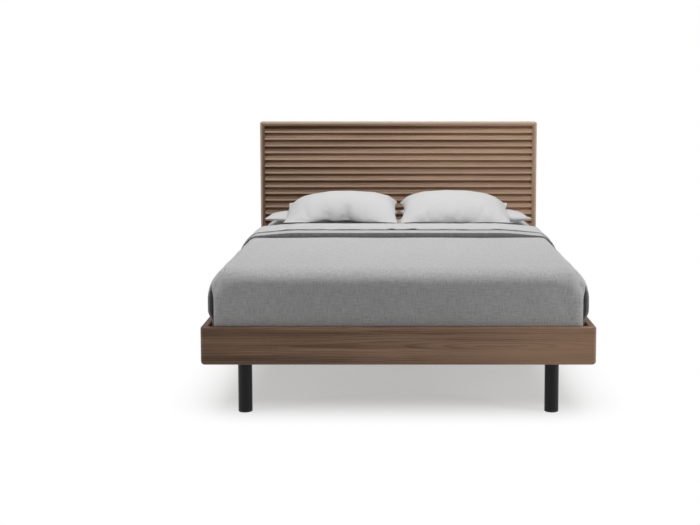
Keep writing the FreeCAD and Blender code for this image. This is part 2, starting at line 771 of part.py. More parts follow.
def bedding():
    """The mattress, and the sheet, duvet and turned-down sheet over it."""
    mattress = soft_block("mattress", MATTRESS_HALF, MATTRESS_FOOT, MATTRESS_HEAD, MATTRESS_BASE,
                          MATTRESS_TOP, "mattress_corner", "mattress_edge")
    sheet_edge = "(mattress_edge + sheet_thickness)"
    sheet_block = soft_block(
        "sheet_block", SHEET_HALF, SHEET_FOOT, f"({MATTRESS_HEAD} + sheet_thickness)",
        f"({MATTRESS_BASE} + sheet_hem_rise)", SHEET_TOP, "(mattress_corner + sheet_thickness)",
        sheet_edge)
    cut_from("fitted_sheet", sheet_block, mattress)

    duvet_edge = f"({sheet_edge} + duvet_thickness)"
    duvet_corner = "(mattress_corner + sheet_thickness + duvet_side)"
    main = soft_block("duvet_main", DUVET_HALF, DUVET_FOOT, DUVET_HEAD, f"({SLAT_TOP} + duvet_hem_rise)",
                      DUVET_TOP, duvet_corner, duvet_edge, open_head=True)
    cuff_half = f"({DUVET_HALF} + cuff_spread)"
    cuff_hem = "(rail_top + cuff_hem_rise)"
    cuff_top = f"({DUVET_TOP} + cuff_rise)"
    cuff_edge = f"({duvet_edge} + cuff_rise)"
    cuff = cuff_block("duvet_cuff", cuff_half, "cuff_from_head", cuff_hem, cuff_top, cuff_edge)
    outside = join("duvet_outside", main, cuff)
    cut_from("duvet", outside, sheet_block)

    cover = "turn_down_thickness"
    sheet_cover = cuff_block(
        "turn_down_block", f"({cuff_half} + {cover})", "turn_down_from_head",
        f"({cuff_hem} + turn_down_hem_rise)", f"({cuff_top} + {cover})", f"({cuff_edge} + {cover})")
    cut_from("turned_down_sheet", sheet_cover, outside)


def cuff_block(label, half_width, from_head, base, top, edge):
    """A block across the bed, up to the duvet's end, with rounded top edges."""
    corners = rectangle(f"-{half_width}", f"({HEAD_FRONT} - {from_head})", half_width, DUVET_HEAD)
    tall = f"({top} - {base})"
    body, blank = prism(label, ("0", "0", base), "XY", corners, tall)
    round_edges(body, blank, lambda e: along(e, "y") and at(e, "z", tall), edge, "top_edge")
    return body


def pillow_left(inset, width, side):
    """Where a pillow's left side is, at one side of the bed's middle."""
    return inset if side > 0 else f"-({inset} + {width})"


def lower_pillow(label, side):
    """A pillow lying on the mattress, its front part pressed to a slope."""
    width = f"({MATTRESS_HALF} - lower_pillow_margin - lower_pillow_inset)"
    left = pillow_left("lower_pillow_inset", width, side)
    behind = "(upper_pillow_from_head - lower_pillow_from_head)"
    gap = "(soft_gap + soft_gap / cos(pillow_tilt))"
    front_top = f"(upper_pillow_rise + {behind} * tan(pillow_tilt) - {gap})"
    crest = f"({front_top} + lower_pillow_slope * tan(pillow_tilt))"
    corners = [
        ("0", "0"),
        ("lower_pillow_length", "0"),
        ("lower_pillow_length", "lower_pillow_back"),
        ("lower_pillow_slope", crest),
        ("0", front_top),
    ]
    place = (left, f"({HEAD_FRONT} - lower_pillow_from_head)", f"({SHEET_TOP} + soft_gap)")
    body, blank = prism(label, place, "YZ", corners, width)
    pillow_rounding(body, blank, "lower_pillow_round")


def upper_pillow(label, side):
    """A pillow that leans back on the lower one."""
    width = f"({MATTRESS_HALF} - upper_pillow_margin - upper_pillow_inset)"
    left = pillow_left("upper_pillow_inset", width, side)
    corners = rectangle("0", "0", "upper_pillow_length", "upper_pillow_thickness")
    place = (left, f"({HEAD_FRONT} - upper_pillow_from_head)", f"({SHEET_TOP} + upper_pillow_rise)")
    body, blank = prism(label, place, "YZ", corners, width)
    body.Placement = FreeCAD.Placement(body.Placement.Base, FreeCAD.Rotation(Vector(1, 0, 0), 1))
    body.setExpression(".Placement.Rotation.Angle", bound("pillow_tilt"))
    pillow_rounding(body, blank, "upper_pillow_round")


def pillow_rounding(body, blank, radius):
    """Round a pillow's long edges, then the edges round its two ends."""
    long_edges = round_edges(body, blank, lambda e: along(e, "x"), radius, "long_edges")

    def at_end(edge):
        return edge.BoundBox.XLength < 0.01

    round_edges(body, long_edges, at_end, f"{radius} * {END_ROUND_SHARE}", "end_edges")


# --- the bed -----------------------------------------------------------------

SIDES = {"left": -1, "right": 1}
ENDS = {"foot": -1, "head": 1}
HELPERS = {"sheet_block", "duvet_main", "duvet_cuff", "duvet_outside", "turn_down_block"}


def build_headboard():
    for side, sign in SIDES.items():
        headboard_stile(f"headboard_{side}_stile", sign)
    headboard_top_rail()
    headboard_bottom_rail()
    headboard_back_panel()
    for number in range(1, LOUVER_COUNT + 1):
        headboard_louver(number)


def build_frame():
    foot_rail()
    center_beam()
    slats()
    slat_webbing()
    for side, sign in SIDES.items():
        side_rail(f"{side}_side_rail", sign)
        ledger(f"{side}_ledger", sign)
    for end, way in ENDS.items():
        leg_beam(f"{end}_leg_beam", way)
        beam_hanger(f"{end}_beam_hanger", way)
        center_support_leg(f"{end}_center_support_leg", way)
        leveling_foot(f"{end}_leveling_foot", way)
        for side, sign in SIDES.items():
            corner_bracket(f"{end}_{side}_corner_bracket", sign, way)
            leg(f"{end}_{side}_leg", sign, way)
            leg_glide(f"{end}_{side}_leg_glide", sign, way)


def build_fasteners():
    leg_bolts()
    bracket_bolts()
    hanger_screws()
    ledger_screws()


def build_bedding():
    bedding()
    for side, sign in SIDES.items():
        lower_pillow(f"{side}_lower_pillow", sign)
        upper_pillow(f"{side}_upper_pillow", sign)


def sub_parts():
    """Every object that is a node of the bed."""
    kinds = ("PartDesign::Body", "Part::Cut", "Part::Feature")
    return [o for o in doc.Objects if o.TypeId in kinds and o.Label not in HELPERS]


def check_and_export():
    failed = [o.Name for o in doc.Objects if {"Invalid", "Error"} & set(o.State)]
    if failed:
        raise RuntimeError(f"failed: {failed}")
    pieces = sub_parts()
    for piece in pieces:
        if piece.Shape.isNull() or not piece.Shape.isValid() or not piece.Shape.Solids:
            raise RuntimeError(f"{piece.Label} has no valid solid")
    os.makedirs("parts", exist_ok=True)
    for piece in pieces:
        piece.Shape.exportStep(f"parts/{piece.Label}.step")
    print(len(pieces), "nodes", sum(len(p.Shape.Solids) for p in pieces), "solids")


build_headboard()
build_frame()
build_fasteners()
build_bedding()
doc.recompute()
check_and_export()
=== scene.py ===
"""A platform bed with a louvred headboard, made up with a duvet, sheets and pillows."""

import math

import bpy
import numpy as np
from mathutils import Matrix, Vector


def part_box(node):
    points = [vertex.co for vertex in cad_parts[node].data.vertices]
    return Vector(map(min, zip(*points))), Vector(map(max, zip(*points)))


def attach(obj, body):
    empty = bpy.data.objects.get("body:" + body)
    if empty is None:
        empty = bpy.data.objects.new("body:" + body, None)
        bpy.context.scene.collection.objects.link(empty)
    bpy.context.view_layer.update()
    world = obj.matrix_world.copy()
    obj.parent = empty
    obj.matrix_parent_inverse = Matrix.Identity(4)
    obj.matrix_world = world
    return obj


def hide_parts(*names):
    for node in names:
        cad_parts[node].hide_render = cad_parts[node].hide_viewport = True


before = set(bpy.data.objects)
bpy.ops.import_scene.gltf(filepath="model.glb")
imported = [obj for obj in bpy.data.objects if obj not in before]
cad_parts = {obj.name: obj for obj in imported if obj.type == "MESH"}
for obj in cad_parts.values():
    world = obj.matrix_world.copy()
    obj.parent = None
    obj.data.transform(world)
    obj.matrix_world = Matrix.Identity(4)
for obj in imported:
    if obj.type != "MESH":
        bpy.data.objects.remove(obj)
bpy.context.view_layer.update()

# Places read from the frame, in metres.
FOOT_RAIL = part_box("foot_rail")
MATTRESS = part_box("mattress")
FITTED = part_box("fitted_sheet")
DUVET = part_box("duvet")
TURN_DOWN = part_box("turned_down_sheet")
HEAD_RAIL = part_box("headboard_bottom_rail")
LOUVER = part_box("headboard_louver_01")
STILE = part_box("headboard_right_stile")

BED_FRONT = FOOT_RAIL[0][1]
RAIL_TOP = FOOT_RAIL[1][2]
RAIL_BASE = FOOT_RAIL[0][2]
HEAD_FRONT = HEAD_RAIL[0][1]
LOUVER_PITCH = LOUVER[1][2] - LOUVER[0][2]
BEDDING = "mattress_and_bedding"


# --- shader tools --------------------------------------------------------------

class Socket:
    """A shader output that sums can be written with."""

    def __init__(self, finish, output):
        self.finish = finish
        self.output = output

    def maths(self, operation, *values):
        inputs = dict(enumerate(values))
        return self.finish.node("ShaderNodeMath", {"operation": operation}, inputs)

    def __add__(self, other):
        return self.maths("ADD", self, other)

    def __radd__(self, other):
        return self.maths("ADD", other, self)

    def __sub__(self, other):
        return self.maths("SUBTRACT", self, other)

    def __rsub__(self, other):
        return self.maths("SUBTRACT", other, self)

    def __mul__(self, other):
        return self.maths("MULTIPLY", self, other)

    def __rmul__(self, other):
        return self.maths("MULTIPLY", other, self)

    def __truediv__(self, other):
        return self.maths("DIVIDE", self, other)

    def __rtruediv__(self, other):
        return self.maths("DIVIDE", other, self)

    def __pow__(self, other):
        return self.maths("POWER", self, other)

    def wave(self):
        return self.maths("SINE", self)

    def floor(self):
        return self.maths("FLOOR", self)

    def fraction(self):
        return self.maths("FRACT", self)

    def root(self):
        return self.maths("SQRT", self)

    def size(self):
        return self.maths("ABSOLUTE", self)

    def ramp(self, low, high, start=0.0, end=1.0):
        """Smoothly from start to end as the value goes from low to high."""
        settings = {"interpolation_type": "SMOOTHSTEP"}
        inputs = {0: self, 1: low, 2: high, 3: start, 4: end}
        return self.finish.node("ShaderNodeMapRange", settings, inputs)


class Finish:
    """The nodes of one material, or of the world."""

    def __init__(self, name, world=None):
        self.material = world or bpy.data.materials.new(name)
        self.material.use_nodes = True
        self.tree = self.material.node_tree
        self.tree.nodes.clear()

    def node(self, kind, settings=None, inputs=None, output=0):
        """Any node: its settings first, then the values or links of its sockets."""
        made = self.tree.nodes.new(kind)
        for name, setting in (settings or {}).items():
            setattr(made, name, setting)
        for place, given in (inputs or {}).items():
            if isinstance(given, Socket):
                self.tree.links.new(given.output, made.inputs[place])
            else:
                made.inputs[place].default_value = given
        return Socket(self, made.outputs[output]) if made.outputs else None

    def place(self):
        """Object coordinates as three sockets."""
        return self.split(self.node("ShaderNodeTexCoord", output="Object"))

    def unfolded(self):
        """The piece's own map, in metres along the cloth, as two sockets."""
        across, along, _ = self.split(self.node("ShaderNodeUVMap", {"uv_map": "cloth"}))
        return across, along

    def split(self, vector):
        parted = self.node("ShaderNodeSeparateXYZ", None, {0: vector})
        return [Socket(self, output) for output in parted.output.node.outputs]

    def join(self, x, y, z=0.0):
        return self.node("ShaderNodeCombineXYZ", None, {0: x, 1: y, 2: z})

    def noise(self, vector, scale=1.0, detail=2.0, roughness=0.5):
        inputs = {"Vector": vector, "Scale": scale, "Detail": detail, "Roughness": roughness}
        return self.node("ShaderNodeTexNoise", None, inputs)

    def mix(self, share, first, second):
        """A colour between two, by a share."""
        inputs = {0: share, 6: rgba(first), 7: rgba(second)}
        return self.node("ShaderNodeMix", {"data_type": "RGBA"}, inputs, output=2)

    def bump(self, height, distance, strength=1.0):
        inputs = {"Height": height, "Distance": distance, "Strength": strength}
        return self.node("ShaderNodeBump", None, inputs)

    def surface(self, **sockets):
        """The Principled shader with its sockets, and the material output."""
        named = {name.replace("_", " "): given for name, given in sockets.items()}
        shader = self.node("ShaderNodeBsdfPrincipled", None, named)
        self.node_output(shader)
        return self.material

    def node_output(self, shader, kind="ShaderNodeOutputMaterial"):
        self.node(kind, None, {"Surface": shader})


def rgba(colour):
    return colour if isinstance(colour, Socket) else (*colour, 1.0)


# --- wood, metal and plastic ---------------------------------------------------

WALNUT_LIGHT = (0.46, 0.285, 0.185)
WALNUT_MID = (0.31, 0.183, 0.113)
WALNUT_DARK = (0.105, 0.055, 0.030)


def walnut(name, grain, boards=None, figure=None, edge_highlight=None, lean=0.42):
    """Oiled walnut veneer with its grain along one axis.

    boards is (axis, width, top) where each strip of that width, down from top, is a board, with a painted
    highlight on the lowest part of each board, its nose.
    figure is (along, across) of the middle of a cathedral figure.
    edge_highlight is (axis, start, end) of a painted highlight: a lighter rim on the front, on both sides
    of that axis, standing in for light caught by the rounded edges.
    lean is how much lighter the wood gets for each metre towards +x.
    """
    finish = Finish(name)
    axes = dict(zip("xyz", finish.place()))
    along = axes[grain]
    across, depth = [axes[axis] for axis in "zyx" if axis != grain]
    board_tone = 0.5
    if boards:
        axis, width, top = boards
        number = ((top - axes[axis]) / width).floor()
        chance = finish.node("ShaderNodeTexWhiteNoise", {"noise_dimensions": "1D"}, {"W": number})
        board_tone = chance
        along = along + chance * 7.0
        across = across + chance * 3.0
    broad = finish.noise(finish.join(along * 1.3, across * 5.0, depth * 5.0), 1.0, 3.0)
    drift = (broad - 0.5) * 0.05
    if figure:
        middle, height = figure
        spread = (along - middle) / 0.30
        rise = 0.034 * (1.0 - 1.0 / (1.0 + spread * spread))
        reach = across - height + drift * 0.45
        ring = (reach * reach + rise * rise).root()
    else:
        ring = across + drift + along * 0.012
    wander = finish.noise(finish.join(along * 3.0, across * 40.0, depth * 40.0), 1.0, 2.0)
    band = (ring / 0.0085 + wander * 0.8).fraction()
    late = band.ramp(0.35, 0.92) * (1.0 - band.ramp(0.93, 1.0))
    fibre = finish.noise(finish.join(along * 5.0, across * 420.0, depth * 420.0), 1.0, 3.0, 0.6)
    pore = finish.noise(finish.join(along * 38.0, across * 1100.0, depth * 1100.0), 1.0, 1.0)
    dash = pore.ramp(0.60, 0.72)
    light = finish.mix(broad.ramp(0.30, 0.72), WALNUT_LIGHT, WALNUT_MID)
    streak = finish.noise(finish.join(along * 0.7, across * 26.0, depth * 26.0), 1.0, 4.0, 0.6)
    shade = late * 0.20 + (fibre - 0.5) * 0.8 + (streak - 0.5) * 1.5 + dash * 0.12 + board_tone * 0.2
    shade = shade + 0.20 - axes["x"] * lean
    colour = finish.mix(shade.ramp(-0.15, 1.0), light, WALNUT_DARK)
    if boards:
        # Painted highlight: the nose at the foot of each louver is painted lighter, standing in for the
        # light it catches.
        down = ((top - axes[axis]) / width).fraction()
        nose = down.ramp(0.66, 0.76)
        nose_highlight = finish.mix(0.62, colour, (0.64, 0.46, 0.32))
        colour = finish.mix(nose, colour, nose_highlight)
    # Painted highlight: a lighter rim along the rounded outer edges of the front, standing in for the
    # light caught there.
    if edge_highlight:
        axis, start, end = edge_highlight
        forward = axes["y"].ramp(HEAD_FRONT + 0.005, HEAD_FRONT + 0.014, 1.0, 0.0)
        rim = axes[axis].size().ramp(start, end) * forward
        colour = finish.mix(rim * 0.75, colour, (0.72, 0.58, 0.46))
    relief = fibre * 0.4 - dash * 0.8 - late * 0.2
    return finish.surface(
        Base_Color=colour,
        Roughness=fibre * 0.12 + 0.36,
        Specular_IOR_Level=0.3,
        Normal=finish.bump(relief, 0.0004, 0.5),
    )


def pale_timber():
    """Sawn birch for the slats and beams nobody sees."""
    finish = Finish("birch_slat_wood")
    x, y, z = finish.place()
    broad = finish.noise(finish.join(x * 2.0, y * 9.0, z * 9.0), 1.0, 3.0)
    fibre = finish.noise(finish.join(x * 9.0, y * 300.0, z * 300.0), 1.0, 3.0, 0.6)
    band = ((y + z + (broad - 0.5) * 0.06) / 0.012).fraction()
    shade = band * 0.35 + fibre * 0.6
    colour = finish.mix(shade.ramp(0.1, 1.0), (0.62, 0.47, 0.30), (0.40, 0.27, 0.15))
    return finish.surface(
        Base_Color=colour, Roughness=fibre * 0.15 + 0.5, Normal=finish.bump(fibre, 0.0004, 0.5))


def powder_coat():
    """Satin black powder coat with a fine orange-peel surface and dust near the floor."""
    finish = Finish("black_powder_coat")
    x, y, z = finish.place()
    peel = finish.noise(finish.join(x, y, z), 900.0, 2.0)
    cloud = finish.noise(finish.join(x, y, z), 14.0, 3.0)
    dust = z.ramp(0.0, 0.09, 0.35, 0.0) * cloud
    colour = finish.mix(dust, (0.007, 0.007, 0.0072), (0.035, 0.034, 0.032))
    return finish.surface(
        Base_Color=colour, Roughness=cloud * 0.06 + 0.30, Specular_IOR_Level=0.22,
        Normal=finish.bump(peel, 0.0003, 0.35))


def zinc_plate():
    """Bright zinc on bolts and screws, a little cloudy."""
    finish = Finish("zinc_plate")
    x, y, z = finish.place()
    cloud = finish.noise(finish.join(x, y, z), 160.0, 3.0)
    turned = finish.noise(finish.join(x * 60.0, y * 60.0, z * 900.0), 1.0, 2.0)
    colour = finish.mix(cloud, (0.50, 0.50, 0.52), (0.66, 0.65, 0.62))
    return finish.surface(
        Base_Color=colour, Metallic=1.0, Roughness=turned * 0.2 + 0.25,
        Normal=finish.bump(turned, 0.0001, 0.3))


def black_plastic():
    """Moulded black plastic with a fine matte texture, scuffed at the floor."""
    finish = Finish("black_moulded_plastic")
    x, y, z = finish.place()
    grit = finish.noise(finish.join(x, y, z), 1500.0, 2.0)
    scuff = finish.noise(finish.join(x * 30.0, y * 30.0, z * 300.0), 1.0, 3.0)
    worn = scuff.ramp(0.55, 0.7) * z.ramp(0.0, 0.01, 1.0, 0.2)
    colour = finish.mix(worn, (0.022, 0.022, 0.023), (0.12, 0.115, 0.11))
    return finish.surface(
        Base_Color=colour, Roughness=grit * 0.15 + 0.55, Normal=finish.bump(grit, 0.0002, 0.4))


def webbing():
    """Woven polyester strap."""
    finish = Finish("woven_strap")
    x, y, z = finish.place()
    warp = (x * 2600.0).wave()
    weft = (y * 2600.0).wave()
    weave = warp * weft
    colour = finish.mix(weave.ramp(-1.0, 1.0), (0.62, 0.60, 0.55), (0.80, 0.79, 0.75))
    return finish.surface(
        Base_Color=colour, Roughness=0.8, Normal=finish.bump(weave, 0.0003, 0.6))


# --- cloth finishes --------------------------------------------------------------

def linen(name, pale, dark):
    """Yarn-dyed linen: a plain weave with thicker slubs along both threads."""
    finish = Finish(name)
    across, along = finish.unfolded()
    weave = (across * 3500.0).wave() * (along * 3500.0).wave()
    long_slub = finish.noise(finish.join(across * 210.0, along * 26.0), 1.0, 2.0, 0.6)
    wide_slub = finish.noise(finish.join(across * 26.0 + 9.0, along * 210.0), 1.0, 2.0, 0.6)
    dark_dash = long_slub.ramp(0.57, 0.65) + wide_slub.ramp(0.57, 0.65)
    pale_dash = long_slub.ramp(0.41, 0.33) + wide_slub.ramp(0.41, 0.33)
    streaks = dark_dash - pale_dash
    cloud = finish.noise(finish.join(across * 3.0, along * 3.0), 1.0, 2.0)
    shade = 0.5 + streaks * 0.30 + (long_slub + wide_slub - 1.0) * 0.5 + (cloud - 0.5) * 0.2
    colour = finish.mix(shade.ramp(0.0, 1.0), pale, dark)
    relief = weave * 0.30 - streaks * 0.5
    return finish.surface(
        Base_Color=colour, Roughness=0.92, Specular_IOR_Level=0.25, Sheen_Weight=0.35,
        Sheen_Roughness=0.45, Normal=finish.bump(relief, 0.0006, 0.45))


def cotton(name, colour, creased=0.5, ribbed=False):
    """Smooth cotton percale with the faint creases of a washed sheet."""
    finish = Finish(name)
    across, along = finish.unfolded()
    weave = (across * 5200.0).wave() * (along * 5200.0).wave()
    crease = finish.noise(finish.join(across * 7.0, along * 5.0), 1.0, 4.0, 0.55)
    fold = (crease - 0.5).size()
    sharp = 1.0 - fold.ramp(0.0, 0.06)
    relief = weave * 0.03 + sharp * creased
    shade = finish.noise(finish.join(across * 2.0, along * 2.0), 1.0, 2.0)
    if ribbed:
        relief = relief + (across * 260.0).wave() * 0.4
    base = finish.mix(shade * 0.5, colour, tuple(part * 0.955 for part in colour))
    return finish.surface(
        Base_Color=base, Roughness=0.85, Specular_IOR_Level=0.25, Sheen_Weight=0.15,
        Sheen_Roughness=0.4, Normal=finish.bump(relief, 0.0012, 0.35))


# --- mesh tools --------------------------------------------------------------------

def smooth_step(low, high, value):
    """0 below low, 1 above high, and smooth between them."""
    share = np.clip((value - low) / (high - low), 0.0, 1.0)
    return share * share * (3.0 - 2.0 * share)


def bell(value, width):
    return np.exp(-((value / width) ** 2))


def ripple(seed, places, wavelengths):
    """Gentle seeded waves over places given as columns, between about -1 and 1."""
    chance = np.random.default_rng(seed)
    total = np.zeros(len(places))
    for length in wavelengths:
        heading = chance.normal(size=places.shape[1])
        heading *= 2.0 * math.pi / (length * np.linalg.norm(heading))
        total += np.sin(places @ heading + chance.uniform(0.0, 2.0 * math.pi))
    return total / len(wavelengths)


def mesh_piece(name, points, faces, flat, material):
    """A smooth mesh with a cloth map in metres, one flat place for each face corner."""
    mesh = bpy.data.meshes.new(name)
    mesh.from_pydata([tuple(p) for p in points], [], faces)
    layer = mesh.uv_layers.new(name="cloth")
    layer.data.foreach_set("uv", np.asarray(flat, dtype=np.float32).ravel())
    mesh.polygons.foreach_set("use_smooth", [True] * len(mesh.polygons))
    mesh.materials.append(material)
    mesh.update()
    piece = bpy.data.objects.new(name, mesh)
    bpy.context.scene.collection.objects.link(piece)
    return piece


def grid_faces(rows, columns, start=0, closed=False):
    """Faces of a grid of points, row by row. Closed joins the last row to the first."""
    faces = []
    for row in range(rows if closed else rows - 1):
        following = (row + 1) % rows
        for column in range(columns - 1):
            faces.append((
                start + row * columns + column,
                start + row * columns + column + 1,
                start + following * columns + column + 1,
                start + following * columns + column,
            ))
    return faces


def activate(piece):
    bpy.ops.object.select_all(action="DESELECT")
    piece.select_set(True)
    bpy.context.view_layer.objects.active = piece


def apply_modifier(piece, kind, **settings):
    activate(piece)
    modifier = piece.modifiers.new(kind.lower(), kind)
    for name, setting in settings.items():
        setattr(modifier, name, setting)
    bpy.ops.object.modifier_apply(modifier=modifier.name)


def spaced(low, high, step, fine=0.0, fine_step=0.006, ends=(True, True)):
    """Places from low to high, closer together near the ends that ask for it."""
    marks = [low]
    if ends[0] and fine:
        marks += list(np.arange(low + fine_step, low + fine, fine_step))
    start = marks[-1]
    stop = high - fine if ends[1] and fine else high
    count = max(2, round((stop - start) / step))
    marks += list(np.linspace(start, stop, count + 1)[1:])
    if ends[1] and fine:
        marks += list(np.arange(stop + fine_step, high - fine_step / 2, fine_step)) + [high]
    return np.array(marks)


# --- duvet -----------------------------------------------------------------------------

DUVET_HALF = DUVET[1][0] - 0.016
DUVET_EDGE = 0.794
DUVET_FOOT = DUVET[0][1]
DUVET_HEAD = DUVET[1][1]
DUVET_HEM = DUVET[0][2]
CUFF_RISE = 0.025
DUVET_TOP = DUVET[1][2] - CUFF_RISE
SIDE_ROUND = 0.068
FOOT_ROUND = 0.112
TOP_ROUND = 0.098
FOOT_TOP_ROUND = 0.060


def rounded(points, half, foot, top):
    """Pull a sharp box's points in to rounded edges, tighter along the foot than the sides."""
    at_side = smooth_step(half - 0.14, half, np.abs(points[:, 0]))
    top_round = FOOT_TOP_ROUND + (TOP_ROUND - FOOT_TOP_ROUND) * at_side
    radius = np.column_stack([
        np.full(len(points), SIDE_ROUND), np.full(len(points), FOOT_ROUND), top_round])
    inner_low = np.array([-half + SIDE_ROUND, foot + FOOT_ROUND, -9.0])
    inner_high = np.array([half - SIDE_ROUND, 9.0, top])
    core = np.clip(points, inner_low, inner_high)
    core[:, 2] = np.minimum(core[:, 2], top - top_round)
    away = (points - core) / radius
    length = np.linalg.norm(away, axis=1, keepdims=True)
    reach = np.abs(away).max(axis=1, keepdims=True)
    scale = np.where(length > 1e-9, reach / np.maximum(length, 1e-9), 0.0)
    return core + away * scale * radius


# The foot panel folded round its corner, seen from above: the way along the duvet's edge from
# its corner, then how far out and how far back from the foot, with the side drop behind a slit.
CORNER_PATH = np.array([
    (-0.120, -0.1200, 0.000), (-0.060, -0.0630, 0.000), (-0.036, -0.0420, 0.000),
    (-0.024, -0.0300, 0.002), (-0.010, -0.0190, 0.007), (0.002, -0.0130, 0.015),
    (0.012, -0.0110, 0.025), (0.022, -0.0130, 0.035), (0.032, -0.0220, 0.042),
    (0.042, -0.0310, 0.054), (0.052, -0.0340, 0.074), (0.062, -0.0340, 0.104),
    (0.070, -0.0290, 0.126), (0.078, -0.0160, 0.122), (0.086, -0.0080, 0.098),
    (0.094, -0.0060, 0.074), (0.102, -0.0050, 0.060), (0.110, -0.0020, 0.054),
    (0.118, 0.0005, 0.058), (0.126, 0.0010, 0.068), (0.136, 0.0010, 0.088),
    (0.160, 0.0000, 0.160),
])


def swell(z):
    """How far the drops swell outwards over the rails at a height."""
    share = smooth_step(RAIL_TOP + 0.003, RAIL_TOP + 0.05, z) * (1.0 - smooth_step(0.53, 0.62, z))
    return share * (DUVET_EDGE - DUVET_HALF)


def duvet_sheet(material, corner_shade):
    """The duvet: its top, its foot and side drops, and the folded foot corners, with painted shade inside
    the corners.
    """
    xs = spaced(-DUVET_HALF, DUVET_HALF, 0.018, 0.12, 0.005)
    ys = spaced(DUVET_FOOT, DUVET_HEAD, 0.018, 0.17, 0.004, ends=(True, False))
    zs = spaced(DUVET_HEM, DUVET_TOP, 0.011, 0.10, 0.008, ends=(False, True))
    points, faces, flat, known = [], [], [], {}

    def vertex(x, y, z):
        key = (round(x, 6), round(y, 6), round(z, 6))
        if key not in known:
            known[key] = len(points)
            points.append((x, y, z))
        return known[key]

    def panel(place, unfold, firsts, seconds, turned):
        for a, b in zip(firsts, firsts[1:]):
            for c, d in zip(seconds, seconds[1:]):
                corners = [(a, c), (b, c), (b, d), (a, d)]
                if turned:
                    corners.reverse()
                faces.append([vertex(*place(*pair)) for pair in corners])
                flat.extend(unfold(*pair) for pair in corners)

    panel(lambda x, y: (x, y, DUVET_TOP), lambda x, y: (x, y), xs, ys, False)
    panel(lambda x, z: (x, DUVET_FOOT, z), lambda x, z: (x, DUVET_FOOT - DUVET_TOP + z), xs, zs, False)
    for side in (-1, 1):
        edge = side * DUVET_HALF
        panel(lambda y, z: (edge, y, z), lambda y, z: (edge + side * (DUVET_TOP - z), y), ys, zs, side < 0)

    sharp = np.array(points)
    soft = rounded(sharp, DUVET_HALF, DUVET_FOOT, DUVET_TOP)
    soft = duvet_shape(sharp, soft)
    piece = mesh_piece("duvet_main", soft, faces, flat, material)
    piece.data.materials.append(corner_shade)
    # Painted shade: the faces inside each folded foot corner take the dark linen, standing in for the
    # shade in that hollow.
    for face, corners in zip(piece.data.polygons, faces):
        middle = sharp[corners].mean(axis=0)
        way = middle[1] - DUVET_FOOT
        if abs(middle[0]) > DUVET_HALF - 1e-4 and 0.030 < way < 0.100 and face.center.z < 0.53:
            face.material_index = 1
    apply_modifier(piece, "SOLIDIFY", thickness=0.003, offset=-1.0)
    return piece


def duvet_shape(sharp, soft):
    """Fold the foot corners, bulge over the rails and let the cloth wave a little."""
    x, y, z = soft.T.copy()
    side = np.sign(sharp[:, 0])
    way = np.where(
        sharp[:, 1] < DUVET_FOOT + 1e-6,
        np.abs(sharp[:, 0]) - DUVET_HALF,
        np.where(np.abs(sharp[:, 0]) > DUVET_HALF - 1e-6, sharp[:, 1] - DUVET_FOOT, 9.0),
    )
    low = 1.0 - smooth_step(0.500, 0.560, z)
    folded = low * (way > -0.12) * (way < 0.16)
    out = np.interp(way, CORNER_PATH[:, 0], CORNER_PATH[:, 1])
    back = np.interp(way, CORNER_PATH[:, 0], CORNER_PATH[:, 2])
    x = x + folded * (side * (DUVET_HALF + out) - x)
    y = y + folded * (DUVET_FOOT + back - y)
    # the side drop swells over the side rails
    above = swell(z) / (DUVET_EDGE - DUVET_HALF)
    outer = smooth_step(0.070, 0.110, np.where(way < 8.0, way, 0.0))
    outer = np.where(np.abs(sharp[:, 0]) > DUVET_HALF - 1e-6, np.maximum(outer, 1.0 - low), 0.0)
    x = x + side * outer * above * (DUVET_EDGE - DUVET_HALF)
    front = sharp[:, 1] < DUVET_FOOT + 1e-6
    y = y - front * above * 0.006
    # soft waves
    top = smooth_step(DUVET_TOP - 0.03, DUVET_TOP - 0.005, z)
    z = z + top * 0.0016 * ripple(3, soft[:, :2], (0.31, 0.42, 0.55, 0.74))
    hanging = (1.0 - top) * smooth_step(RAIL_TOP - 0.02, RAIL_TOP + 0.05, z)
    y = y - front * hanging * 0.0022 * ripple(5, soft[:, [0]], (0.17, 0.29, 0.46))
    x = x + side * outer * hanging * 0.0022 * ripple(7, soft[:, [1]], (0.19, 0.31, 0.5))
    return np.column_stack([x, y, z])


def over_the_bed(count, half, top, hem, side_round, top_round):
    """A path over the bed from hem to hem, with rounded shoulders."""
    steep = np.linspace(hem, top - top_round, max(4, count // 8))
    turn = np.linspace(0.0, math.pi / 2, max(8, count // 6))[1:]
    right = [(half, z) for z in steep]
    right += [(half - side_round + side_round * math.cos(a), top - top_round + top_round * math.sin(a))
              for a in turn]
    across = np.linspace(half - side_round, 0.0, count // 2)[1:]
    right += [(x, top) for x in across]
    return np.array(right + [(-x, z) for x, z in reversed(right[:-1])])


def measured(path):
    """A path with its outward directions and the length run at each point."""
    heading = np.gradient(path, axis=0)
    heading /= np.linalg.norm(heading, axis=1, keepdims=True)
    outward = np.column_stack([heading[:, 1], -heading[:, 0]])
    steps = np.linalg.norm(np.diff(path, axis=0), axis=1)
    return path, outward, np.concatenate([[0.0], np.cumsum(steps)])


